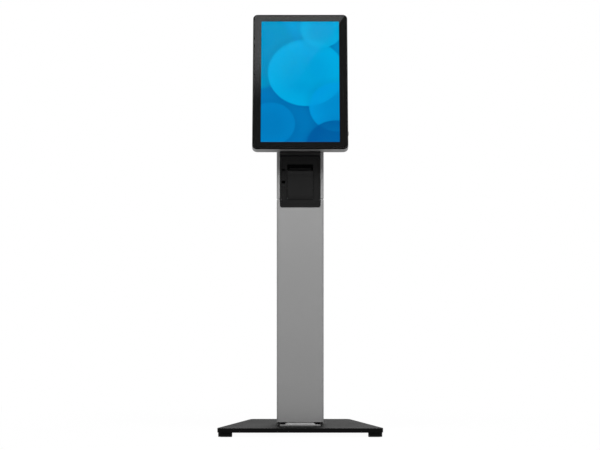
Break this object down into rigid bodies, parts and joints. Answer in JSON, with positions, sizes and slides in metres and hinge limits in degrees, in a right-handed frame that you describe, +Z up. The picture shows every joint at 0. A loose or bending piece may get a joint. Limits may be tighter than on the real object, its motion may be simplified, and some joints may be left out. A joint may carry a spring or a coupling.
{
  "type": "kiosk floor stand",
  "caption": "Floor-standing self-service kiosk: portrait touchscreen leaning back on a slim silver column with a built-in receipt printer and a trapezoid base plate.",
  "frame": {"origin": "on the floor, at the middle of the base plate's outline", "axes": "+Z up, -Y towards the customer, +X to the customer's right"},
  "size_m": [0.5588, 0.45, 1.4428],
  "materials": {
    "black_steel": "fine-textured black powder coat",
    "silver_coat": "satin silver powder coat",
    "silver_plastic": "satin silver paint on moulded plastic",
    "black_sheet": "black powder coat on folded sheet",
    "zinc_steel": "zinc plated",
    "lock_chrome": "bright plated",
    "blade_steel": "ground edge",
    "foot_rubber": "moulded black rubber",
    "black_rubber": "smooth black rubber",
    "strap_web": "woven hook-and-loop tape",
    "washer_plastic": "plain acetal",
    "black_plastic": "finely grained black moulding",
    "black_gloss": "polished black moulding",
    "clear_glass": "clear toughened glass",
    "black_print": "black print on the back of the glass",
    "display_picture": "lit display with a plain blue pattern",
    "circuit_board": "green solder mask",
    "aluminium_fins": "extruded, unpainted",
    "dark_anodised": "anodised black",
    "receipt_paper": "smooth thermal paper",
    "core_board": "wound card tube",
    "gear_plastic": "natural acetal",
    "light_lens": "clear green lens"
  },
  "bodies": {
    "stand": {"base_plate": "black_steel", "rubber_feet": "foot_rubber", "foot_screws": "zinc_steel", "column_foot": "silver_coat", "column_bolts": "zinc_steel", "column_body": "silver_coat", "upper_shell": "silver_coat", "sheet_screws": "zinc_steel", "printer_tray": "silver_coat", "top_cap": "black_plastic", "cable_guard": "black_sheet", "cable_grommet": "black_rubber", "adapter_shelf": "zinc_steel", "power_adapter": "black_plastic", "adapter_strap": "strap_web", "column_hinge_leaves": "zinc_steel", "hinge_pins": "zinc_steel", "column_bracket": "black_sheet", "pivot_shaft": "zinc_steel", "pivot_nuts": "zinc_steel", "friction_washers": "washer_plastic", "printer_surround": "black_plastic", "printer_case": "black_plastic", "side_frames": "zinc_steel", "roll_bucket": "black_plastic", "cover_pins": "zinc_steel", "feed_motor": "zinc_steel", "cutter_frame": "black_plastic", "cutter_blade": "blade_steel", "print_head": "dark_anodised", "status_lights": "light_lens", "printer_boards": "circuit_board"},
    "screen": {"tilt_arm": "black_sheet", "arm_screws": "zinc_steel", "rear_housing": "silver_plastic", "housing_screws": "zinc_steel", "bezel_frame": "black_gloss", "cover_glass": "clear_glass", "glass_border": "black_print", "display_layer": "display_picture", "display_module": "zinc_steel", "display_chassis": "zinc_steel", "main_board": "circuit_board", "heat_sink": "aluminium_fins", "speakers": "black_plastic", "port_cover": "black_plastic"},
    "screen_key": {"screen_power_key": "black_plastic"},
    "door": {"rear_door": "silver_coat", "door_hinge_leaves": "zinc_steel"},
    "lock": {"door_lock": "lock_chrome"},
    "paper_cover": {"printer_cover": "black_plastic"},
    "platen": {"platen_shaft": "zinc_steel", "platen_rubber": "black_rubber", "platen_gear": "gear_plastic"},
    "pinion": {"motor_pinion": "gear_plastic"},
    "roll": {"paper_roll": "receipt_paper", "roll_core": "core_board"},
    "lever": {"cover_lever": "black_plastic"},
    "feed_button": {"feed_key": "black_plastic"},
    "power_button": {"power_key": "black_plastic"}
  },
  "joints": [
    {"name": "screen_tilt", "type": "hinge", "parent": "stand", "child": "screen", "pos_m": [0, -0.03747, 1.08087], "axis": [1, 0, 0], "range_deg": [-15, 5]},
    {"name": "screen_key_press", "type": "slide", "parent": "screen", "child": "screen_key", "axis": [-1, 0, 0], "range_m": [0, 0.001], "stiffness_N_per_m": 600},
    {"name": "door_swing", "type": "hinge", "parent": "stand", "child": "door", "pos_m": [-0.063, 0.0387, 0.42473], "axis": [0, 0, 1], "range_deg": [0, 110]},
    {"name": "lock_turn", "type": "hinge", "parent": "door", "child": "lock", "pos_m": [0.042, 0.0363, 0.42473], "axis": [0, 1, 0], "range_deg": [-90, 0]},
    {"name": "cover_open", "type": "hinge", "parent": "stand", "child": "paper_cover", "pos_m": [0, -0.1139, 0.80327], "axis": [1, 0, 0], "range_deg": [0, 80]},
    {"name": "platen_spin", "type": "hinge", "parent": "paper_cover", "child": "platen", "pos_m": [0, -0.1009, 0.89177], "axis": [1, 0, 0], "continuous": true},
    {"name": "pinion_spin", "type": "hinge", "parent": "stand", "child": "pinion", "pos_m": [0.0408, -0.08814, 0.88989], "axis": [1, 0, 0], "continuous": true},
    {"name": "roll_spin", "type": "hinge", "parent": "stand", "child": "roll", "pos_m": [0, -0.0575, 0.84307], "axis": [1, 0, 0], "continuous": true},
    {"name": "lever_slide", "type": "slide", "parent": "stand", "child": "lever", "axis": [0, 0, -1], "range_m": [0, 0.009], "stiffness_N_per_m": 300, "springref_m": -0.001},
    {"name": "feed_press", "type": "slide", "parent": "stand", "child": "feed_button", "axis": [0, 1, 0], "range_m": [0, 0.0012], "stiffness_N_per_m": 500},
    {"name": "power_press", "type": "slide", "parent": "stand", "child": "power_button", "axis": [0, 1, 0], "range_m": [0, 0.0012], "stiffness_N_per_m": 500}
  ],
  "couplings": [
    {"joint": "pinion_spin", "follows": "platen_spin", "ratio": -1.6667}
  ]
}
